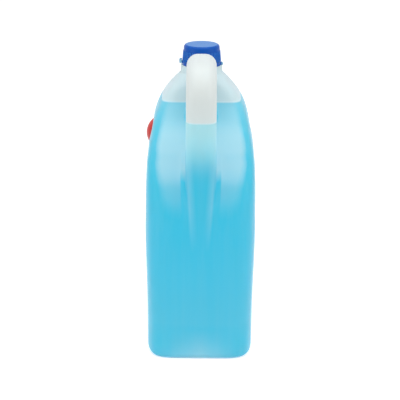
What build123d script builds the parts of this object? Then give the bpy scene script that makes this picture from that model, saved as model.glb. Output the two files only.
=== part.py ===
"""A five-litre washer fluid jug: a blow-moulded jug with a hollow handle, its filling and its screw cap.

Millimetres. +Z is up, the jug stands on z = 0, and the handle is at the -Y end.
"""

from build123d import *
import math
import os

# Jug body
JUG_LENGTH = 212.0  # along Y, from the handle end to the far end
JUG_THICKNESS = 118.0  # along X, across the broad faces
SHOULDER_HEIGHT = 286.0  # base to where the shoulder runs under the collar
COLLAR_HEIGHT = 5.0  # upright ring between the shoulder and the tamper band
WALL = 1.0
BASE_ROUND = 5.0  # radius where the walls turn into the base
FOOT_WIDTH = 13.0  # flat ring that the jug stands on
PUSH_UP = 4.0  # how far the middle of the base is raised
PUSH_UP_SLOPE = 6.0  # width of the slope around the raised middle

# Each row blends the circle under the collar (0) into the full body (1): height, thickness, reach to
# the handle end and to the far end, then how square the outline is at the handle end and at the far end.
body_section_shares = [
    (0.035, 0.921, 1.000, 1.000, 6.0, 6.0),
    (0.150, 0.932, 1.000, 1.000, 5.9, 5.9),
    (0.367, 0.986, 0.997, 1.000, 5.6, 5.6),
    (0.448, 1.000, 0.982, 1.000, 5.4, 5.4),
    (0.528, 0.996, 0.950, 1.000, 5.6, 5.2),
    (0.594, 0.991, 0.904, 1.000, 6.2, 5.0),
    (0.631, 0.984, 0.862, 0.997, 6.8, 4.8),
    (0.656, 0.977, 0.826, 0.990, 7.2, 4.6),
    (0.680, 0.969, 0.773, 0.980, 7.6, 4.4),
    (0.702, 0.958, 0.707, 0.969, 8.0, 4.2),
    (0.724, 0.936, 0.627, 0.956, 8.3, 4.0),
    (0.748, 0.900, 0.541, 0.938, 8.5, 3.8),
    (0.781, 0.846, 0.376, 0.887, 8.5, 3.6),
    (0.816, 0.797, 0.243, 0.815, 8.5, 3.3),
    (0.858, 0.704, 0.151, 0.713, 8.5, 3.0),
    (0.899, 0.561, 0.090, 0.590, 8.2, 2.7),
    (0.934, 0.390, 0.059, 0.456, 6.5, 2.5),
    (0.960, 0.244, 0.038, 0.302, 4.6, 2.3),
    (0.981, 0.116, 0.020, 0.148, 3.0, 2.1),
    (1.000, 0.000, 0.000, 0.000, 2.0, 2.0),
]
OUTLINE_POINTS = 52
CROWDING_SHARE = 0.6  # how much closer the outline's points are at the handle end
BASE_ARC_STEPS = 4

# Neck finish
NECK_PLACE_SHARE = 0.113  # neck axis, from the middle towards the far end, as a share of the length
NECK_RADIUS = 17.6
NECK_WALL = 2.1
NECK_HEIGHT = 19.6  # top of the collar to the rim
NECK_SINK = 2.0  # how far the neck's wall runs down into the collar
RIM_ROUND = 0.6
COLLAR_LEDGE = 1.9  # how far the collar stands out past the cap
COLLAR_ROOF = 2.0  # thickness of the shoulder's top around the bore
BEAD_RISE = 1.2  # ring on the neck that keeps the tamper band down
BEAD_HEIGHT = 1.4
BEAD_GAP = 0.8  # between the bead and the band's lip

# Handle
HANDLE_WIDTH = 31.7
HANDLE_DEPTH = 26.0
HANDLE_ROUND = 12.0  # corner radius of its cross-section
HANDLE_ABOVE_CAP = 0.2  # how much higher its top is than the cap's
HANDLE_SETBACK = 2.0  # outer face behind the end of the body
HANDLE_TO_CAP = 5.0
HANDLE_OUTER_CORNER = 12.0  # radius inside the bend at the handle end
HANDLE_INNER_CORNER = 4.0  # radius inside the bend beside the neck
HANDLE_ROOT_SHARE = 0.776  # where the leg beside the neck starts, inside the shoulder
HANDLE_FOOT_SHARE = 0.392  # where the other leg ends, inside the tongue

# Tongue: the handle's foot, a rib with sloping flanks that runs down the end wall and narrows
TONGUE_LOW_SHARE = 0.409
TONGUE_FADE_SHARE = 0.679  # from here up it falls away behind the handle
TONGUE_HIGH_SHARE = 0.769
TONGUE_FLANK = 5.6  # how far it spreads past the handle on each side
TONGUE_FACE_SHARE = 0.79  # width between its flanks at the top, of the handle's width
TONGUE_TIP_SHARE = 0.28  # and at the tip
TONGUE_RECEDE_SHARE = 0.36  # how far its top lies behind the handle's outer face, of the handle's depth

# Filling
FILL_SHARE = 0.895  # height of the fluid's surface, of the shoulder's height
FLUID_GAP = 0.15

# Screw cap
CAP_WALL = 1.3
THREAD_ROOM = 1.6  # between the neck and the cap's lower end
CAP_DRAFT = 1.4  # how much smaller the radius is at the top, inside and out
CAP_TOP_THICKNESS = 1.6
CAP_EDGE_ROUND = 3.2
CAP_LIFT = 0.4  # gap above the tamper band
RIB_COUNT = 60
RIB_RADIUS = 0.45
RIB_REACH_SHARE = 0.62  # ribbed part of the cap's height
LINER_THICKNESS = 1.2
LINER_CLEARANCE = 0.3
SEAT_GAP = 0.1  # liner above the neck's rim

# Tamper band
BAND_STEP = 0.3  # how far it stands out past the cap
BAND_HEIGHT = 4.0
BAND_SEAT = 0.2  # above the collar
BAND_WALL = 1.5
BAND_LIP_HEIGHT = 1.4
BAND_NECK_CLEARANCE = 0.35
TAB_LENGTH = 3.4
TAB_WIDTH = 5.0
TAB_HEIGHT = 4.6
TAB_LIFT = 1.6  # above the band's lower edge
TAB_CAP_CLEARANCE = 0.5
TAB_ROUND = 1.0
LUG_LENGTH = 2.4
LUG_WIDTH = 4.0
LUG_HEIGHT = 2.8
LUG_SLOPE = 1.2

# Round badge on one broad face
BADGE_DIAMETER = 26.0
BADGE_RISE = 5.0
BADGE_BACK = 1.5  # how far its rim reaches back to the curved wall
BADGE_PLACE_SHARE = 0.762  # height of its centre, of the shoulder's height
BADGE_LEAN = 11.0  # degrees, follows the shoulder

OVERRUN = 5.0  # how far cutting shapes run past what they cut

NECK_OFFSET = JUG_LENGTH * NECK_PLACE_SHARE
BORE_RADIUS = NECK_RADIUS - NECK_WALL
BEAD_RADIUS = NECK_RADIUS + BEAD_RISE
CAP_INSIDE = NECK_RADIUS + THREAD_ROOM
CAP_RADIUS = CAP_INSIDE + CAP_WALL
CAP_TOP_INSIDE = CAP_INSIDE - CAP_DRAFT
COLLAR_RADIUS = CAP_RADIUS + COLLAR_LEDGE
COLLAR_TOP = SHOULDER_HEIGHT + COLLAR_HEIGHT
BAND_RADIUS = CAP_RADIUS + BAND_STEP
RIM_HEIGHT = COLLAR_TOP + NECK_HEIGHT
BAND_LOW = COLLAR_TOP + BAND_SEAT
BEAD_LOW = BAND_LOW + BAND_LIP_HEIGHT + BEAD_GAP
CAP_LOW = BAND_LOW + BAND_HEIGHT + CAP_LIFT
LINER_LOW = RIM_HEIGHT + SEAT_GAP
CAP_CEILING = LINER_LOW + LINER_THICKNESS
CAP_HIGH = CAP_CEILING + CAP_TOP_THICKNESS
HANDLE_FACE = -JUG_LENGTH / 2 + HANDLE_SETBACK
NEAR_LEG = HANDLE_FACE + HANDLE_DEPTH / 2
FAR_LEG = NECK_OFFSET - CAP_RADIUS - HANDLE_TO_CAP - HANDLE_DEPTH / 2
HANDLE_BAR = CAP_HIGH + HANDLE_ABOVE_CAP - HANDLE_DEPTH / 2
TONGUE_LOW = SHOULDER_HEIGHT * TONGUE_LOW_SHARE
TONGUE_FADE = SHOULDER_HEIGHT * TONGUE_FADE_SHARE
TONGUE_HIGH = SHOULDER_HEIGHT * TONGUE_HIGH_SHARE
BADGE_HEIGHT = SHOULDER_HEIGHT * BADGE_PLACE_SHARE


def blend(low, high, share):
    return low + (high - low) * share


def ease(share):
    """Smooth step from 0 to 1."""
    share = min(max(share, 0), 1)
    return share * share * (3 - 2 * share)


def tongue_at(height, near, x, inset):
    """How far the tongue stands out from the end wall at one place."""
    rise_share = min(max((height - TONGUE_LOW) / (TONGUE_HIGH - TONGUE_LOW), 0), 1)
    face = HANDLE_FACE + HANDLE_DEPTH * TONGUE_RECEDE_SHARE * rise_share**2
    fade_share = ease((height - TONGUE_FADE) / (TONGUE_HIGH - TONGUE_FADE))
    half_face = HANDLE_WIDTH * blend(TONGUE_TIP_SHARE, TONGUE_FACE_SHARE, rise_share) / 2
    flank_share = ease((abs(x) + inset - half_face) / (HANDLE_WIDTH / 2 + TONGUE_FLANK - half_face))
    return max(near - face, 0) * (1 - fade_share) * (1 - flank_share)


def outline_at(row, inset, shrink=0):
    """Points of one horizontal section: half sizes less by shrink, then moved inwards by inset."""
    height_share, thickness_share, near_share, far_share, near_square, far_square = row
    near = blend(NECK_OFFSET - CAP_RADIUS, -JUG_LENGTH / 2, near_share)
    far = blend(NECK_OFFSET + CAP_RADIUS, JUG_LENGTH / 2, far_share)
    half_length = (far - near) / 2 - shrink
    half_thickness = blend(CAP_RADIUS, JUG_THICKNESS / 2, thickness_share) - shrink
    points = []
    for i in range(OUTLINE_POINTS):
        turn = math.pi / 2 + math.tau * i / OUTLINE_POINTS
        angle = turn - CROWDING_SHARE * math.cos(turn)
        c, s = math.cos(angle), math.sin(angle)
        squareness = near_square if s < 0 else far_square
        size = (abs(c) ** squareness + abs(s) ** squareness) ** (-1 / squareness)
        u, v = size * c, size * s
        nx = math.copysign(abs(u) ** (squareness - 1), u) / half_thickness
        ny = math.copysign(abs(v) ** (squareness - 1), v) / half_length
        step = inset / math.hypot(nx, ny)
        x = half_thickness * u - nx * step
        y = (near + far) / 2 + half_length * v - ny * step
        if v < 0:
            y -= tongue_at(height_share * SHOULDER_HEIGHT, near, x, inset)
        points.append((x, y))
    return points


def closed_wire(points, height):
    """A smooth closed section. All sections share the same evenly spaced parameters."""
    places = [Vector(x, y, height) for x, y in points]
    return Wire([Edge.make_spline(places, periodic=True, parameters=range(OUTLINE_POINTS + 1))])


def base_wires(inset):
    """Sections of the rounded turn from the base to the walls."""
    wires = []
    for i in range(BASE_ARC_STEPS + 1):
        angle = math.pi / 2 * i / BASE_ARC_STEPS
        arc = BASE_ROUND - inset
        points = outline_at(body_section_shares[0], BASE_ROUND - arc * math.sin(angle))
        wires.append(closed_wire(points, BASE_ROUND - arc * math.cos(angle)))
    return wires


def body_solid(inset):
    """The body without its handle, moved inwards by inset. The inside narrows to the neck's bore."""
    turn = base_wires(inset)
    rows = body_section_shares[:-1]
    walls = [closed_wire(outline_at(row, inset), SHOULDER_HEIGHT * row[0]) for row in rows]
    top = closed_wire(outline_at(body_section_shares[-1], 0), SHOULDER_HEIGHT)
    if inset:
        throat = outline_at(body_section_shares[-1], CAP_RADIUS - NECK_RADIUS + inset)
        top = closed_wire(throat, SHOULDER_HEIGHT - COLLAR_ROOF)
    body = Solid.make_loft(turn) + Solid.make_loft([turn[-1], *walls])
    return body + Solid.make_loft([walls[-1], top], True)


def push_up_solid(grow):
    """The raised middle of the base, larger by grow on its sides and top, and run on below the base."""
    low_row = body_section_shares[0]
    lower = outline_at(low_row, -grow, BASE_ROUND + FOOT_WIDTH - PUSH_UP_SLOPE / 2)
    upper = outline_at(low_row, -grow, BASE_ROUND + FOOT_WIDTH + PUSH_UP_SLOPE)
    return Solid.make_loft([closed_wire(lower, -PUSH_UP / 2), closed_wire(upper, PUSH_UP + grow)], True)


def handle_solid(inset):
    """The handle's tube, from inside the shoulder over to the handle end and down into the tongue."""
    root = SHOULDER_HEIGHT * HANDLE_ROOT_SHARE
    path = FilletPolyline(
        (0, FAR_LEG, root),
        (0, FAR_LEG, HANDLE_BAR),
        (0, NEAR_LEG, HANDLE_BAR),
        (0, NEAR_LEG, SHOULDER_HEIGHT * HANDLE_FOOT_SHARE),
        radius=[HANDLE_INNER_CORNER + HANDLE_DEPTH / 2, HANDLE_OUTER_CORNER + HANDLE_DEPTH / 2],
    )
    section = RectangleRounded(HANDLE_WIDTH - 2 * inset, HANDLE_DEPTH - 2 * inset, HANDLE_ROUND - inset)
    return sweep(Pos(0, FAR_LEG, root) * section, path=path)


def shell_form(inset):
    """The jug's whole outer form, or its inside where inset is the wall."""
    return body_solid(inset) + handle_solid(inset)


def neck_solid():
    ring = Pos(0, NECK_OFFSET, RIM_HEIGHT) * Cylinder(
        NECK_RADIUS, NECK_HEIGHT + NECK_SINK, align=(Align.CENTER, Align.CENTER, Align.MAX)
    )
    collar = Pos(0, NECK_OFFSET, COLLAR_TOP) * Cylinder(
        COLLAR_RADIUS, 2 * COLLAR_HEIGHT, align=(Align.CENTER, Align.CENTER, Align.MAX)
    )
    bead = Pos(0, NECK_OFFSET, BEAD_LOW) * Cylinder(
        BEAD_RADIUS, BEAD_HEIGHT, align=(Align.CENTER, Align.CENTER, Align.MIN)
    )
    rim = ring.edges().group_by(Axis.Z)[-1]
    return fillet(rim, RIM_ROUND) + bead + collar


def cavity(inset):
    inside = shell_form(inset) - push_up_solid(inset)
    depth = COLLAR_HEIGHT + NECK_HEIGHT + 2 * OVERRUN
    bore = Pos(0, NECK_OFFSET, SHOULDER_HEIGHT - OVERRUN) * Cylinder(
        BORE_RADIUS + WALL - inset, depth, align=(Align.CENTER, Align.CENTER, Align.MIN)
    )
    return inside + bore


def jug_body():
    outside = shell_form(0) - push_up_solid(0) + neck_solid()
    return outside - cavity(WALL)


def washer_fluid():
    below = Box(
        JUG_THICKNESS + 2 * OVERRUN,
        JUG_LENGTH + 2 * OVERRUN,
        SHOULDER_HEIGHT * FILL_SHARE,
        align=(Align.CENTER, Align.CENTER, Align.MIN),
    )
    return cavity(WALL + FLUID_GAP) & below


def screw_cap():
    height = CAP_HIGH - CAP_LOW
    top_radius = CAP_RADIUS - CAP_DRAFT
    with BuildPart() as cap:
        with BuildSketch(Plane.XZ):
            Polygon((0, 0), (CAP_RADIUS, 0), (top_radius, height), (0, height), align=None)
        revolve(axis=Axis.Z)
        fillet(cap.edges().group_by(Axis.Z)[-1], CAP_EDGE_ROUND)
        Cone(
            CAP_INSIDE,
            CAP_TOP_INSIDE,
            CAP_CEILING - CAP_LOW,
            align=(Align.CENTER, Align.CENTER, Align.MIN),
            mode=Mode.SUBTRACT,
        )
    ribs = []
    for i in range(RIB_COUNT):
        rib = Cylinder(RIB_RADIUS, height * RIB_REACH_SHARE, align=(Align.CENTER, Align.CENTER, Align.MIN))
        lean = math.degrees(math.atan(CAP_DRAFT / height))
        ribs.append(Rot(0, 0, 360 * i / RIB_COUNT) * Pos(CAP_RADIUS, 0, 0) * Rot(0, -lean, 0) * rib)
    ribbed = cap.part + ribs
    trim = Box(4 * CAP_RADIUS, 4 * CAP_RADIUS, OVERRUN, align=(Align.CENTER, Align.CENTER, Align.MAX))
    return Pos(0, NECK_OFFSET, CAP_LOW) * (ribbed - trim)


def cap_liner():
    return Pos(0, NECK_OFFSET, LINER_LOW) * Cylinder(
        CAP_TOP_INSIDE - LINER_CLEARANCE, LINER_THICKNESS, align=(Align.CENTER, Align.CENTER, Align.MIN)
    )


def tamper_band():
    lip_radius = NECK_RADIUS + BAND_NECK_CLEARANCE
    inner_radius = BAND_RADIUS - BAND_WALL
    bottom = (Align.CENTER, Align.CENTER, Align.MIN)
    ring = Cylinder(BAND_RADIUS, BAND_HEIGHT, align=bottom)
    tab = Pos(-BAND_RADIUS - TAB_LENGTH, 0, TAB_LIFT) * Box(
        BAND_WALL + TAB_LENGTH, TAB_WIDTH, TAB_HEIGHT, align=(Align.MIN, Align.CENTER, Align.MIN)
    )
    tab = fillet(tab.edges().filter_by(Axis.Y).group_by(Axis.X)[0], TAB_ROUND)
    cap_room = CAP_RADIUS + RIB_RADIUS + TAB_CAP_CLEARANCE
    tab -= Pos(0, 0, BAND_HEIGHT) * Cylinder(cap_room, TAB_LIFT + TAB_HEIGHT, align=bottom)
    lug = Pos(BAND_RADIUS + LUG_LENGTH, 0, 0) * Box(
        BAND_WALL + LUG_LENGTH, LUG_WIDTH, LUG_HEIGHT, align=(Align.MAX, Align.CENTER, Align.MIN)
    )
    lug = chamfer(lug.edges().filter_by(Axis.Y).group_by(Axis.X)[-1].sort_by(Axis.Z)[-1], LUG_SLOPE)
    ring += [tab, lug]
    ring -= Pos(0, 0, BAND_LIP_HEIGHT) * Cylinder(inner_radius, BAND_HEIGHT, align=bottom)
    ring -= Cylinder(lip_radius, BAND_HEIGHT, align=bottom)
    return Pos(0, NECK_OFFSET, BAND_LOW) * ring


def half_thickness_at(height):
    """Half the body's thickness at one height, straight between the sections."""
    for low, high in zip(body_section_shares, body_section_shares[1:]):
        if low[0] * SHOULDER_HEIGHT <= height <= high[0] * SHOULDER_HEIGHT:
            place_share = (height / SHOULDER_HEIGHT - low[0]) / (high[0] - low[0])
            return blend(CAP_RADIUS, JUG_THICKNESS / 2, blend(low[1], high[1], place_share))
    return JUG_THICKNESS / 2


def round_badge():
    """A shallow dome whose back follows the wall."""
    half = BADGE_DIAMETER / 2
    ball = (half**2 + BADGE_RISE**2) / (2 * BADGE_RISE)
    dome = Pos(0, 0, BADGE_RISE - ball) * Sphere(ball)
    dome &= Pos(0, 0, -BADGE_BACK) * Cylinder(
        half, BADGE_BACK + BADGE_RISE, align=(Align.CENTER, Align.CENTER, Align.MIN)
    )
    wall = Pos(-half_thickness_at(BADGE_HEIGHT), NECK_OFFSET, BADGE_HEIGHT)
    return wall * Rot(0, BADGE_LEAN - 90, 0) * dome - body_solid(0)


PARTS = {
    "jug_body": jug_body,
    "washer_fluid": washer_fluid,
    "screw_cap": screw_cap,
    "cap_liner": cap_liner,
    "tamper_band": tamper_band,
    "round_badge": round_badge,
}

if __name__ == "__main__":
    os.makedirs("parts", exist_ok=True)
    for name, make in PARTS.items():
        export_step(make(), f"parts/{name}.step")
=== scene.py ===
"""Looks of a five-litre washer fluid jug: milky moulded jug, blue fluid, ribbed screw cap."""

import math

import bmesh
import bpy
from mathutils import Matrix, Vector


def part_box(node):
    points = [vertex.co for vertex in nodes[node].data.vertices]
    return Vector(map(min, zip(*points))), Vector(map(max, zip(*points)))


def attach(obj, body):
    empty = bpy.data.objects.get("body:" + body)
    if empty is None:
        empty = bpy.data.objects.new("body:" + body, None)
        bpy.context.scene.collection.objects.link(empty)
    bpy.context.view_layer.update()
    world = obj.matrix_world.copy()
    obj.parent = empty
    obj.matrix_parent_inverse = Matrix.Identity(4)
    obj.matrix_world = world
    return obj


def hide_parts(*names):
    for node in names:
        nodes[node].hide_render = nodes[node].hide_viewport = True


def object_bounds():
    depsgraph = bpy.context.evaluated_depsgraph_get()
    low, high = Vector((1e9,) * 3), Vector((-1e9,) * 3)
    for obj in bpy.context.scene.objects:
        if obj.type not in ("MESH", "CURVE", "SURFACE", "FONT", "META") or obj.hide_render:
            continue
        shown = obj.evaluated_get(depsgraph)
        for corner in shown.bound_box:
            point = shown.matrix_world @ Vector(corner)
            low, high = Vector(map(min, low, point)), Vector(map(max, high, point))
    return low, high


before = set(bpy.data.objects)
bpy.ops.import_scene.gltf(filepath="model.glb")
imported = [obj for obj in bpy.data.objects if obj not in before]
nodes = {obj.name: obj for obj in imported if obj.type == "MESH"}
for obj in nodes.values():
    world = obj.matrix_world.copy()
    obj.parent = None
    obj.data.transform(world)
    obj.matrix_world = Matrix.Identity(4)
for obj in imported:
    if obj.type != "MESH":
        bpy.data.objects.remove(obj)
cad_box = [list(corner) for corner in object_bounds()]

MM = 0.001
cap_low, cap_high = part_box("screw_cap")
liner_low, liner_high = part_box("cap_liner")
band_low, band_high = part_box("tamper_band")
NECK_AXIS = (cap_low + cap_high) / 2
RIM_LEVEL = liner_low.z
BAND_LEVEL = band_low.z
BAND_RADIUS = band_high.y - NECK_AXIS.y
FILL_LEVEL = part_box("washer_fluid")[1].z

# Closure sizes that the frame's boxes don't give
NECK_RADIUS = 17.6 * MM
CAP_INSIDE = 19.2 * MM  # at the lower end
CAP_RADIUS = 20.5 * MM  # between the ribs, at the lower end
CAP_DRAFT = 1.4 * MM  # how much smaller both are at the top
RIB_HEIGHT = 0.45 * MM
CAP_TAPER_INSIDE = CAP_DRAFT / (liner_high.z - cap_low.z)
CAP_TAPER_OUTSIDE = CAP_DRAFT / (cap_high.z - cap_low.z)

# A strip of the bore below the tamper band is left out, which parts the skin from the jug's inside
BORE_REACH = 17.0 * MM
BORE_CUT = 7.0 * MM

# Thread ridges on the neck and in the cap
THREAD_PITCH = 4.0 * MM
THREAD_TURNS = 1.75
THREAD_RISE = 0.5 * MM
THREAD_WIDTH = 1.6 * MM
THREAD_STEPS = 72  # for each turn
THREAD_RUN_IN = 12  # steps over which each end fades out
THREAD_ROOT_SHARE = 0.15  # depth of its foot in the wall, as a share of its rise
THREAD_DROP = 12.5 * MM  # start of the neck's thread below the rim
NECK_THREAD_LOW = RIM_LEVEL - THREAD_DROP
CAP_THREAD_LOW = NECK_THREAD_LOW + THREAD_PITCH / 2
CAP_THREAD_RADIUS = CAP_INSIDE - CAP_TAPER_INSIDE * (CAP_THREAD_LOW - cap_low.z)

# Parting line of the mould, which stops short of the neck and of the floor
PARTING_RISE = 0.12 * MM
PARTING_WIDTH = 0.7 * MM
PARTING_LOW = 0.5 * MM
NECK_REACH = 42.0 * MM

SHARP_ANGLE = math.radians(40)
WELD = 0.001 * MM


def linear(hex_colour):
    """An sRGB hex colour as linear red, green, blue, alpha."""
    parts = [int(hex_colour[i : i + 2], 16) / 255 for i in (1, 3, 5)]
    return [p / 12.92 if p <= 0.04045 else ((p + 0.055) / 1.055) ** 2.4 for p in parts] + [1.0]


def add_node(tree, kind, inputs=None, **settings):
    """Adds one node. An input is a number, a colour, or a (node, output) pair to link from."""
    node = tree.nodes.new(kind)
    for name, value in settings.items():
        setattr(node, name, value)
    for name, value in (inputs or {}).items():
        socket = node.inputs[name]
        if isinstance(value, tuple) and isinstance(value[0], bpy.types.Node):
            tree.links.new(value[0].outputs[value[1]], socket)
        else:
            socket.default_value = value
    return node


def new_material(name):
    material = bpy.data.materials.new(name)
    material.use_nodes = True
    material.node_tree.nodes.clear()
    return material, material.node_tree


def dress(piece, material):
    piece.data.materials.clear()
    piece.data.materials.append(material)


# Natural polyethylene, blow-moulded: milky where air is behind it. Where the fluid wets it, it takes
# up the fluid's colour, paler where little fluid is behind it, with painted light and painted
# highlights laid over that. Half gloss in soft patches, with a slight orange peel
WET_ALPHA = 0.62
DRY_ALPHA = 0.88
LEVEL_BLUR = 0.8 * MM
MENISCUS = "#D8E8EB"
MENISCUS_HEIGHT = 1.6 * MM
GLOSS_PATCH = 22 * MM
PEEL_SPACING = 2.4 * MM

# Above the fluid the handle is whiter than the jug's head space, which has painted shade: darker
# where less light comes through the wall than through the handle, down to the collar under the cap
HANDLE_DRY = "#DCE3E1"
HEAD_SPACE_SHADE = "#CADFE2"
HEAD_FRONT = -30 * MM
HEAD_BACK = 0 * MM

# The wetted body by height: the fluid's colour with painted light, paler some way above the floor
# where light comes up off it, and paler towards the shoulder where light comes from above
wet_tone_and_light = [
    (0 * MM, "#14D2F4"),
    (14 * MM, "#32D8F6"),
    (40 * MM, "#58DCF6"),
    (130 * MM, "#3ED7F3"),
    (185 * MM, "#3CD6EF"),
    (225 * MM, "#56D7EE"),
    (256 * MM, "#82DEF1"),
]

# The handle holds little fluid
HANDLE_WET = "#C0F0F4"
HANDLE_BACK = -70 * MM
HANDLE_FRONT = -80 * MM
HANDLE_FADE_LOW = 193 * MM
HANDLE_FADE_HIGH = 251 * MM

# Painted highlights along the rounded edges of the handle's foot, which stand nearer together lower
# down
EDGE_HIGHLIGHT = "#BCEFF9"
EDGE_STRENGTH = 0.34
EDGE_LOW = 118 * MM
EDGE_FULL = 165 * MM
EDGE_SPREAD = 0.072  # for each unit of height
EDGE_OFFSET = -0.36 * MM
EDGE_INNER_WIDTH = 7.0 * MM
EDGE_OUTER_WIDTH = 2.4 * MM

# The shoulder's slope beside the handle is lit from above, its rounded sides aren't
SHOULDER_WET = "#BEF0F7"
SLOPE_LOW = 0.20  # how far a face looks up, from 0 to 1
SLOPE_HIGH = 0.85
TURN_LOW = 0.10  # how far a face looks sideways, from 0 to 1
TURN_HIGH = 0.36

# High up, light also fills the hollows between the handle's foot and the shoulder
HOLLOW_LOW = 190 * MM
HOLLOW_HIGH = 201 * MM
HOLLOW_FRONT = -40 * MM
HOLLOW_BACK = -30 * MM
HOLLOW_INNER = 15.6 * MM
HOLLOW_INNER_FULL = 16.6 * MM
HOLLOW_OUTER_FULL = 22 * MM
HOLLOW_OUTER = 29 * MM

# Light comes up through the raised middle of the base
BASE_WET = "#BCEFF9"
BASE_STRENGTH = 0.68
BASE_HEIGHT = 34 * MM
BASE_HALF_WIDTH = 42 * MM

# Behind the broad faces the fluid is half as deep as behind the ends
BROAD_WET = "#B4EAF7"
BROAD_STRENGTH = 0.12
BROAD_FROM = 0.93  # how far a face looks sideways, from 0 to 1

# Faint streaks up the jug, left by the die that the tube came out of before it was blown. They are
# drawn wider apart than real ones, so that they show
STREAK_PALE = "#E4F4F8"
STREAK_STRENGTH = 0.03
STREAK_FROM = 0.42
STREAK_FULL = 0.72
STREAK_SPACING = 8 * MM
STREAK_STRETCH = 0.03


# The height ramp holds painted light as well as the fluid's colour
def body_by_height(tree, at):
    top = wet_tone_and_light[-1][0]
    rise = add_node(tree, "ShaderNodeMapRange", {"Value": (at, "Z"), "From Max": top})
    body = add_node(tree, "ShaderNodeValToRGB", {"Fac": (rise, "Result")})
    while len(body.color_ramp.elements) < len(wet_tone_and_light):
        body.color_ramp.elements.new(1.0)
    for element, (level, colour) in zip(body.color_ramp.elements, wet_tone_and_light):
        element.position = level / top
        element.color = linear(colour)
    return body


def handle_masks(tree, at, aside):
    """Masks for the handle and for the painted highlights along the edges of its foot."""
    near = add_node(tree, "ShaderNodeMapRange", {
        "Value": (at, "Y"), "From Min": HANDLE_BACK, "From Max": HANDLE_FRONT,
    })
    handle = add_node(tree, "ShaderNodeMapRange", {
        "Value": (at, "Z"),
        "From Min": HANDLE_FADE_LOW,
        "From Max": HANDLE_FADE_HIGH,
        "To Max": (near, "Result"),
    }, interpolation_type="SMOOTHSTEP")
    # Painted highlights: pale bands along the rounded edges of the handle's foot
    edge_place = add_node(tree, "ShaderNodeMath", {
        0: (at, "Z"), 1: EDGE_SPREAD, 2: EDGE_OFFSET,
    }, operation="MULTIPLY_ADD")
    past_edge = add_node(tree, "ShaderNodeMath", {
        0: (aside, "Value"), 1: (edge_place, "Value"),
    }, operation="SUBTRACT")
    inner = add_node(tree, "ShaderNodeMapRange", {
        "Value": (past_edge, "Value"),
        "From Min": -EDGE_INNER_WIDTH,
        "From Max": 0.0,
        "To Max": EDGE_STRENGTH,
    })
    edge = add_node(tree, "ShaderNodeMapRange", {
        "Value": (past_edge, "Value"),
        "From Max": EDGE_OUTER_WIDTH,
        "To Min": (inner, "Result"),
        "To Max": 0.0,
    })
    near_edge = add_node(tree, "ShaderNodeMath", {
        0: (edge, "Result"), 1: (near, "Result"),
    }, operation="MULTIPLY")
    foot = add_node(tree, "ShaderNodeMapRange", {
        "Value": (at, "Z"),
        "From Min": EDGE_LOW,
        "From Max": EDGE_FULL,
        "To Max": (near_edge, "Value"),
    })
    return handle, foot


def shoulder_masks(tree, at, aside, facing, turned):
    """Masks for the shoulder's slope and for the hollows beside the handle's foot."""
    flat = add_node(tree, "ShaderNodeMapRange", {
        "Value": (turned, "Value"), "From Min": TURN_HIGH, "From Max": TURN_LOW,
    })
    shoulder = add_node(tree, "ShaderNodeMapRange", {
        "Value": (facing, "Z"),
        "From Min": SLOPE_LOW,
        "From Max": SLOPE_HIGH,
        "To Max": (flat, "Result"),
    })
    clear = add_node(tree, "ShaderNodeMapRange", {
        "Value": (aside, "Value"), "From Min": HOLLOW_INNER, "From Max": HOLLOW_INNER_FULL,
    })
    beside = add_node(tree, "ShaderNodeMapRange", {
        "Value": (aside, "Value"),
        "From Min": HOLLOW_OUTER,
        "From Max": HOLLOW_OUTER_FULL,
        "To Max": (clear, "Result"),
    })
    this_end = add_node(tree, "ShaderNodeMapRange", {
        "Value": (at, "Y"),
        "From Min": HOLLOW_BACK,
        "From Max": HOLLOW_FRONT,
        "To Max": (beside, "Result"),
    })
    hollow = add_node(tree, "ShaderNodeMapRange", {
        "Value": (at, "Z"),
        "From Min": HOLLOW_LOW,
        "From Max": HOLLOW_HIGH,
        "To Max": (this_end, "Result"),
    })
    return shoulder, hollow


def wet_wall(tree, at, facing):
    """The wall's colour with fluid behind it: by height with painted light, with the painted
    highlights and the paler places laid over that.
    """
    aside = add_node(tree, "ShaderNodeMath", {0: (at, "X")}, operation="ABSOLUTE")
    turned = add_node(tree, "ShaderNodeMath", {0: (facing, "X")}, operation="ABSOLUTE")
    handle, foot = handle_masks(tree, at, aside)
    shoulder, hollow = shoulder_masks(tree, at, aside, facing, turned)
    middle = add_node(tree, "ShaderNodeMapRange", {
        "Value": (aside, "Value"),
        "From Min": BASE_HALF_WIDTH,
        "From Max": 0.0,
        "To Max": BASE_STRENGTH,
    })
    base = add_node(tree, "ShaderNodeMapRange", {
        "Value": (at, "Z"), "From Min": BASE_HEIGHT, "From Max": 0.0, "To Max": (middle, "Result"),
    })
    broad = add_node(tree, "ShaderNodeMapRange", {
        "Value": (turned, "Value"), "From Min": BROAD_FROM, "To Max": BROAD_STRENGTH,
    })
    wet = (body_by_height(tree, at), "Color")
    layers = [
        (handle, HANDLE_WET),
        # The foot's edges get a painted highlight
        (foot, EDGE_HIGHLIGHT),
        (shoulder, SHOULDER_WET),
        (hollow, SHOULDER_WET),
        (base, BASE_WET),
        (broad, BROAD_WET),
    ]
    for mask, colour in layers:
        mixed = add_node(tree, "ShaderNodeMix", {
            "Factor": (mask, "Result"), "A": wet, "B": linear(colour),
        }, data_type="RGBA")
        wet = (mixed, "Result")
    return wet


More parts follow.
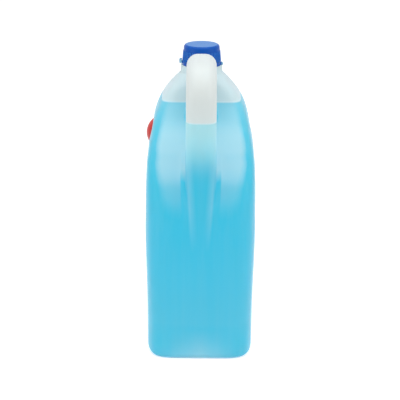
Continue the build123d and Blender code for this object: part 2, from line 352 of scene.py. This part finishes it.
def dry_wall(tree, at):
    """The wall's colour with air behind it, with painted shade on the head space, and the pale line
    where the fluid climbs it.
    """
    # Painted shade: the head space and collar darker than the handle
    head_shade = add_node(tree, "ShaderNodeMapRange", {
        "Value": (at, "Y"), "From Min": HEAD_FRONT, "From Max": HEAD_BACK,
    })
    milky_and_shade = add_node(tree, "ShaderNodeMix", {
        "Factor": (head_shade, "Result"), "A": linear(HANDLE_DRY), "B": linear(HEAD_SPACE_SHADE),
    }, data_type="RGBA")
    above = add_node(tree, "ShaderNodeMapRange", {
        "Value": (at, "Z"),
        "From Min": FILL_LEVEL + MENISCUS_HEIGHT / 2,
        "From Max": FILL_LEVEL + MENISCUS_HEIGHT,
    })
    dry = add_node(tree, "ShaderNodeMix", {
        "Factor": (above, "Result"), "A": linear(MENISCUS), "B": (milky_and_shade, "Result"),
    }, data_type="RGBA")
    return (dry, "Result")


def natural_polyethylene():
    material, tree = new_material("natural_polyethylene")
    place = add_node(tree, "ShaderNodeTexCoord")
    at = add_node(tree, "ShaderNodeSeparateXYZ", {"Vector": (place, "Object")})
    facing = add_node(tree, "ShaderNodeSeparateXYZ", {"Vector": (place, "Normal")})
    emptied = add_node(tree, "ShaderNodeMapRange", {
        "Value": (at, "Z"),
        "From Min": FILL_LEVEL - LEVEL_BLUR,
        "From Max": FILL_LEVEL + LEVEL_BLUR,
    })
    colour = add_node(tree, "ShaderNodeMix", {
        "Factor": (emptied, "Result"), "A": wet_wall(tree, at, facing), "B": dry_wall(tree, at),
    }, data_type="RGBA")
    alpha = add_node(tree, "ShaderNodeMapRange", {
        "Value": (emptied, "Result"), "To Min": WET_ALPHA, "To Max": DRY_ALPHA,
    })

    drawn = add_node(tree, "ShaderNodeVectorMath", {
        0: (place, "Object"), 1: (1.0, 1.0, STREAK_STRETCH),
    }, operation="MULTIPLY")
    streak = add_node(tree, "ShaderNodeTexNoise", {
        "Vector": (drawn, "Vector"), "Scale": 1 / STREAK_SPACING, "Detail": 2.0,
    })
    pale = add_node(tree, "ShaderNodeMapRange", {
        "Value": (streak, "Fac"),
        "From Min": STREAK_FROM,
        "From Max": STREAK_FULL,
        "To Max": STREAK_STRENGTH,
    })
    streaked = add_node(tree, "ShaderNodeMix", {
        "Factor": (pale, "Result"), "A": (colour, "Result"), "B": linear(STREAK_PALE),
    }, data_type="RGBA")

    cloud = add_node(tree, "ShaderNodeTexNoise", {
        "Vector": (place, "Object"), "Scale": 1 / GLOSS_PATCH, "Detail": 3.0,
    })
    gloss = add_node(tree, "ShaderNodeMapRange", {
        "Value": (cloud, "Fac"), "To Min": 0.34, "To Max": 0.50,
    })
    peel = add_node(tree, "ShaderNodeTexNoise", {
        "Vector": (place, "Object"), "Scale": 1 / PEEL_SPACING, "Detail": 2.0,
    })
    bump = add_node(tree, "ShaderNodeBump", {
        "Height": (peel, "Fac"), "Strength": 0.10, "Distance": 0.25 * MM,
    })
    skin = add_node(tree, "ShaderNodeBsdfPrincipled", {
        "Base Color": (streaked, "Result"),
        "Roughness": (gloss, "Result"),
        "IOR": 1.54,
        "Alpha": (alpha, "Result"),
        "Sheen Weight": 0.35,
        "Sheen Roughness": 0.35,
        "Sheen Tint": linear("#E8EEFA"),
        "Normal": (bump, "Normal"),
    })
    add_node(tree, "ShaderNodeOutputMaterial", {"Surface": (skin, "BSDF")})
    return material


# Washer fluid: clear water and alcohol with a blue dye, so depth makes the colour. Its surface is
# rough here because it is only seen through the milky wall, which blurs what lies behind
def dyed_fluid():
    material, tree = new_material("dyed_fluid")
    surface = add_node(tree, "ShaderNodeBsdfPrincipled", {
        "Base Color": linear("#FFFFFF"),
        "Roughness": 0.8,
        "IOR": 1.34,
        "Transmission Weight": 1.0,
    })
    dye = add_node(tree, "ShaderNodeVolumeAbsorption", {
        "Color": linear("#3AE7F4"), "Density": 20.0,
    })
    add_node(tree, "ShaderNodeOutputMaterial", {
        "Surface": (surface, "BSDF"), "Volume": (dye, "Volume"),
    })
    return material


# Moulded polypropylene, dyed through: half gloss, paler where light comes through a thin rib or tab,
# with a painted reflection of the white surroundings on the cap's flat top. Its fine grain is
# drawn at several times its real size, which would be too fine to show
CAP_BLUE = "#0A51AC"
# The top's colour below is a painted reflection
CAP_TOP_REFLECTION = "#3A7AC0"
RIB_BLUE = "#3A80D2"
TAB_BLUE = "#92C8E0"
TOP_FROM = 0.90  # how far a face looks up, from 0 to 1
TOP_FULL = 0.99
RIB_PALE_SHARE = 0.3  # share of a rib's height from which it turns paler
TAB_PALE_FROM = 0.4 * MM  # reach past the band from which a tab turns paler
TAB_PALE_FULL = 1.2 * MM
GRAIN_SPACING = 0.7 * MM


def blue_polypropylene(name, thin_colour, thin_from, thin_full, taper):
    material, tree = new_material(name)
    place = add_node(tree, "ShaderNodeTexCoord")
    across = add_node(tree, "ShaderNodeVectorMath", {
        0: (place, "Object"), 1: (NECK_AXIS.x, NECK_AXIS.y, cap_low.z),
    }, operation="SUBTRACT")
    level = add_node(tree, "ShaderNodeVectorMath", {
        0: (across, "Vector"), 1: (1.0, 1.0, 0.0),
    }, operation="MULTIPLY")
    reach = add_node(tree, "ShaderNodeVectorMath", {0: (level, "Vector")}, operation="LENGTH")
    at = add_node(tree, "ShaderNodeSeparateXYZ", {"Vector": (across, "Vector")})
    upright = add_node(tree, "ShaderNodeMath", {
        0: (at, "Z"), 1: taper, 2: (reach, "Value"),
    }, operation="MULTIPLY_ADD")
    thin = add_node(tree, "ShaderNodeMapRange", {
        "Value": (upright, "Value"), "From Min": thin_from, "From Max": thin_full,
    })
    side = add_node(tree, "ShaderNodeMix", {
        "Factor": (thin, "Result"), "A": linear(CAP_BLUE), "B": linear(thin_colour),
    }, data_type="RGBA")
    facing = add_node(tree, "ShaderNodeSeparateXYZ", {"Vector": (place, "Normal")})
    # Painted reflection of the white surroundings on faces that look up: the cap's flat top
    top = add_node(tree, "ShaderNodeMapRange", {
        "Value": (facing, "Z"), "From Min": TOP_FROM, "From Max": TOP_FULL,
    })
    tone = add_node(tree, "ShaderNodeMix", {
        "Factor": (top, "Result"), "A": (side, "Result"), "B": linear(CAP_TOP_REFLECTION),
    }, data_type="RGBA")
    grain = add_node(tree, "ShaderNodeTexNoise", {
        "Vector": (place, "Object"), "Scale": 1 / GRAIN_SPACING, "Detail": 2.0,
    })
    gloss = add_node(tree, "ShaderNodeMapRange", {
        "Value": (grain, "Fac"), "To Min": 0.28, "To Max": 0.42,
    })
    bump = add_node(tree, "ShaderNodeBump", {
        "Height": (grain, "Fac"), "Strength": 0.12, "Distance": 0.08 * MM,
    })
    plastic = add_node(tree, "ShaderNodeBsdfPrincipled", {
        "Base Color": (tone, "Result"),
        "Roughness": (gloss, "Result"),
        "IOR": 1.49,
        "Specular IOR Level": 0.14,
        "Normal": (bump, "Normal"),
    })
    add_node(tree, "ShaderNodeOutputMaterial", {"Surface": (plastic, "BSDF")})
    return material


# Closed-cell polyethylene foam: white and matt. Its fine pores are drawn at about twice their real
# size, so that they show
PORE_SPACING = 0.55 * MM


def liner_foam():
    material, tree = new_material("liner_foam")
    place = add_node(tree, "ShaderNodeTexCoord")
    pores = add_node(tree, "ShaderNodeTexVoronoi", {
        "Vector": (place, "Object"), "Scale": 1 / PORE_SPACING,
    })
    bump = add_node(tree, "ShaderNodeBump", {
        "Height": (pores, "Distance"), "Strength": 0.3, "Distance": 0.1 * MM,
    })
    rough = add_node(tree, "ShaderNodeMapRange", {
        "Value": (pores, "Distance"), "To Min": 0.8, "To Max": 0.95,
    })
    foam = add_node(tree, "ShaderNodeBsdfPrincipled", {
        "Base Color": linear("#E8E8E4"), "Roughness": (rough, "Result"), "Normal": (bump, "Normal"),
    })
    add_node(tree, "ShaderNodeOutputMaterial", {"Surface": (foam, "BSDF")})
    return material


# Red moulded resin: glossy, with the slight waviness of a small moulding
WAVE_SPACING = 3.3 * MM


def red_resin():
    material, tree = new_material("red_resin")
    place = add_node(tree, "ShaderNodeTexCoord")
    wave = add_node(tree, "ShaderNodeTexNoise", {
        "Vector": (place, "Object"), "Scale": 1 / WAVE_SPACING, "Detail": 2.0,
    })
    gloss = add_node(tree, "ShaderNodeMapRange", {
        "Value": (wave, "Fac"), "To Min": 0.26, "To Max": 0.40,
    })
    bump = add_node(tree, "ShaderNodeBump", {
        "Height": (wave, "Fac"), "Strength": 0.08, "Distance": 0.2 * MM,
    })
    resin = add_node(tree, "ShaderNodeBsdfPrincipled", {
        "Base Color": linear("#C22A26"),
        "Roughness": (gloss, "Result"),
        "IOR": 1.5,
        "Specular IOR Level": 0.3,
        "Normal": (bump, "Normal"),
    })
    add_node(tree, "ShaderNodeOutputMaterial", {"Surface": (resin, "BSDF")})
    return material


def add_piece(name, mesh, body):
    """Puts a mesh into the scene as a piece that moves with one body of the frame."""
    piece = bpy.data.objects.new(name, mesh)
    bpy.context.scene.collection.objects.link(piece)
    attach(piece, body)
    return piece


def from_neck(point):
    return math.hypot(point.x - NECK_AXIS.x, point.y - NECK_AXIS.y)


def outer_skin():
    """The jug's outside, rim and bore: the solid's surface without the inside of the body."""
    shape = bmesh.new()
    shape.from_mesh(nodes["jug_body"].data)
    bmesh.ops.remove_doubles(shape, verts=shape.verts, dist=WELD)
    everything = list(shape.verts) + list(shape.edges) + list(shape.faces)
    bmesh.ops.bisect_plane(shape, geom=everything, plane_co=(0, 0, BAND_LEVEL), plane_no=(0, 0, 1))
    bore = [
        face for face in shape.faces
        if from_neck(face.calc_center_median()) < BORE_REACH
        and BAND_LEVEL - BORE_CUT < face.calc_center_median().z < BAND_LEVEL
    ]
    bmesh.ops.delete(shape, geom=bore, context="FACES")
    start = min(shape.verts, key=lambda vert: vert.co.z)
    outside, to_visit = {start}, [start]
    while to_visit:
        here = to_visit.pop()
        for link in here.link_edges:
            there = link.other_vert(here)
            if there not in outside:
                outside.add(there)
                to_visit.append(there)
    inside = [vert for vert in shape.verts if vert not in outside]
    bmesh.ops.delete(shape, geom=inside, context="VERTS")
    mesh = bpy.data.meshes.new("jug_skin")
    shape.to_mesh(mesh)
    shape.free()
    mesh.shade_smooth()
    mesh.set_sharp_from_angle(angle=SHARP_ANGLE)
    skin = add_piece("jug_skin", mesh, "jug")
    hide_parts("jug_body")
    return skin


def thread_ridge(name, radius, taper, rise, low, body):
    """A right-hand thread ridge. A positive rise stands out from the radius, a negative one in."""
    half = THREAD_WIDTH / 2
    profile = [(-half, 0.0), (-half / 2, 1.0), (half / 2, 1.0), (half, 0.0)]
    steps = round(THREAD_TURNS * THREAD_STEPS)
    verts, faces = [], []
    for i in range(steps + 1):
        angle = math.tau * i / THREAD_STEPS
        height = THREAD_PITCH * i / THREAD_STEPS
        run_in = min(1.0, i / THREAD_RUN_IN, (steps - i) / THREAD_RUN_IN)
        for along, out in profile:
            reach = radius - taper * height + rise * (out * run_in - THREAD_ROOT_SHARE)
            place = (NECK_AXIS.x + reach * math.cos(angle), NECK_AXIS.y + reach * math.sin(angle))
            verts.append((*place, low + along + height))
    count = len(profile)
    for i in range(steps):
        for j in range(count):
            k = (j + 1) % count
            faces.append([i * count + j, i * count + k, (i + 1) * count + k, (i + 1) * count + j])
    faces.append(list(range(count)))
    faces.append(list(range(steps * count, (steps + 1) * count)))
    mesh = bpy.data.meshes.new(name)
    mesh.from_pydata(verts, [], faces)
    tidy_mesh(mesh)
    return add_piece(name, mesh, body)


def tidy_mesh(mesh):
    """Joins points that meet and turns every face outwards."""
    shape = bmesh.new()
    shape.from_mesh(mesh)
    bmesh.ops.remove_doubles(shape, verts=shape.verts, dist=WELD)
    bmesh.ops.recalc_face_normals(shape, faces=shape.faces)
    shape.to_mesh(mesh)
    shape.free()


def parting_line(skin):
    """The mould's parting line: a low ridge in the jug's middle plane, where the two halves met."""
    shape = bmesh.new()
    shape.from_mesh(skin.data)
    everything = list(shape.verts) + list(shape.edges) + list(shape.faces)
    halves = bmesh.ops.bisect_plane(shape, geom=everything, plane_co=(0, 0, 0), plane_no=(1, 0, 0))
    verts, faces = [], []
    for edge in (item for item in halves["geom_cut"] if isinstance(item, bmesh.types.BMEdge)):
        ends = list(edge.verts)
        if any(end.co.z <= PARTING_LOW or from_neck(end.co) <= NECK_REACH for end in ends):
            continue
        first = len(verts)
        for vert in ends:
            out = Vector((0, vert.normal.y, vert.normal.z)).normalized()
            top = vert.co + out * PARTING_RISE
            top = [min(max(value, low), high) for value, low, high in zip(top, *cad_box)]
            foot = vert.co - out * PARTING_RISE / 2
            verts.append((-PARTING_WIDTH / 2, foot.y, foot.z))
            verts.append((0, top[1], top[2]))
            verts.append((PARTING_WIDTH / 2, foot.y, foot.z))
        faces.append((first, first + 1, first + 4, first + 3))
        faces.append((first + 1, first + 2, first + 5, first + 4))
    shape.free()
    mesh = bpy.data.meshes.new("parting_line")
    mesh.from_pydata(verts, [], faces)
    tidy_mesh(mesh)
    mesh.shade_smooth()
    return add_piece("parting_line", mesh, "jug")


polyethylene = natural_polyethylene()
cap_blue = blue_polypropylene(
    "cap_polypropylene",
    RIB_BLUE,
    CAP_RADIUS + RIB_HEIGHT * RIB_PALE_SHARE,
    CAP_RADIUS + RIB_HEIGHT,
    CAP_TAPER_OUTSIDE,
)
band_blue = blue_polypropylene(
    "band_polypropylene", TAB_BLUE, BAND_RADIUS + TAB_PALE_FROM, BAND_RADIUS + TAB_PALE_FULL, 0.0
)
skin = outer_skin()
neck_thread = thread_ridge(
    "neck_thread", NECK_RADIUS, 0.0, THREAD_RISE, NECK_THREAD_LOW, "jug"
)
cap_thread = thread_ridge(
    "cap_thread",
    CAP_THREAD_RADIUS,
    CAP_TAPER_INSIDE,
    -THREAD_RISE,
    CAP_THREAD_LOW,
    "cap",
)
dress(skin, polyethylene)
dress(parting_line(skin), polyethylene)
dress(neck_thread, polyethylene)
dress(cap_thread, cap_blue)
dress(nodes["screw_cap"], cap_blue)
dress(nodes["tamper_band"], band_blue)
dress(nodes["cap_liner"], liner_foam())
dress(nodes["washer_fluid"], dyed_fluid())
dress(nodes["round_badge"], red_resin())

# Pale floor and background, white to the camera; the floor keeps the jug's shadow
FLOOR_SIZE = 12.0
FLOOR_LIFT = 0.5
WORLD_STRENGTH = 0.58


def white_to_camera(tree):
    """1 for rays that show the background: from the camera, through the clear or off the glossy."""
    ray = add_node(tree, "ShaderNodeLightPath")
    straight = add_node(tree, "ShaderNodeMath", {
        0: (ray, "Is Camera Ray"), 1: (ray, "Is Transmission Ray"),
    }, operation="MAXIMUM")
    return add_node(tree, "ShaderNodeMath", {
        0: (straight, "Value"), 1: (ray, "Is Glossy Ray"),
    }, operation="MAXIMUM")


def studio_floor():
    mesh = bpy.data.meshes.new("floor")
    half = FLOOR_SIZE / 2
    corners = [(-half, -half, 0), (half, -half, 0), (half, half, 0), (-half, half, 0)]
    mesh.from_pydata(corners, [], [(0, 1, 2, 3)])
    floor = bpy.data.objects.new("floor", mesh)
    bpy.context.scene.collection.objects.link(floor)
    material, tree = new_material("pale_floor")
    paint = add_node(tree, "ShaderNodeBsdfDiffuse", {"Color": linear("#F4F4F4")})
    seen = white_to_camera(tree)
    lift = add_node(tree, "ShaderNodeMath", {
        0: (seen, "Value"), 1: FLOOR_LIFT,
    }, operation="MULTIPLY")
    glow = add_node(tree, "ShaderNodeEmission", {
        "Color": linear("#FFFFFF"), "Strength": (lift, "Value"),
    })
    both = add_node(tree, "ShaderNodeAddShader", {0: (paint, "BSDF"), 1: (glow, "Emission")})
    add_node(tree, "ShaderNodeOutputMaterial", {"Surface": (both, "Shader")})
    dress(floor, material)


def studio_world():
    world = bpy.data.worlds.new("studio")
    bpy.context.scene.world = world
    world.use_nodes = True
    tree = world.node_tree
    tree.nodes.clear()
    seen = white_to_camera(tree)
    strength = add_node(tree, "ShaderNodeMapRange", {
        "Value": (seen, "Value"), "To Min": WORLD_STRENGTH, "To Max": 1.0,
    })
    sky = add_node(tree, "ShaderNodeBackground", {
        "Color": linear("#FFFFFF"), "Strength": (strength, "Result"),
    })
    add_node(tree, "ShaderNodeOutputWorld", {"Surface": (sky, "Background")})


def softbox(name, place, target, size, power):
    lamp = bpy.data.lights.new(name, "AREA")
    lamp.shape = "RECTANGLE"
    lamp.size, lamp.size_y = size
    lamp.energy = power
    box = bpy.data.objects.new(name, lamp)
    box.location = place
    box.rotation_euler = (Vector(target) - Vector(place)).to_track_quat("-Z", "Y").to_euler()
    bpy.context.scene.collection.objects.link(box)


# The photograph's camera: far off, a little above the jug, looking at the handle end
CAMERA_PLACE = (-0.0006, -2.006, 0.735)
CAMERA_PITCH = math.radians(16.39)
CAMERA_ROLL = math.radians(0.46)
CAMERA_LENS = 172.4
SENSOR = 36.0


def photo_camera():
    lens = bpy.data.cameras.new("camera")
    lens.sensor_width = SENSOR
    lens.lens = CAMERA_LENS
    camera = bpy.data.objects.new("camera", lens)
    camera.location = CAMERA_PLACE
    aim = Matrix.Rotation(math.pi / 2 - CAMERA_PITCH, 3, "X") @ Matrix.Rotation(CAMERA_ROLL, 3, "Z")
    camera.rotation_euler = aim.to_euler()
    bpy.context.scene.collection.objects.link(camera)
    bpy.context.scene.camera = camera


studio_floor()
studio_world()
softbox("overhead", place=(0, -0.1, 1.3), target=(0, 0, 0.2), size=(1.4, 1.4), power=9.5)
for name, side in [("left", -1), ("right", 1)]:
    softbox(name, place=(side * 1.3, -0.7, 0.6), target=(0, 0, 0.15), size=(0.8, 1.2), power=4.5)
photo_camera()
bpy.context.scene.view_settings.view_transform = "Standard"
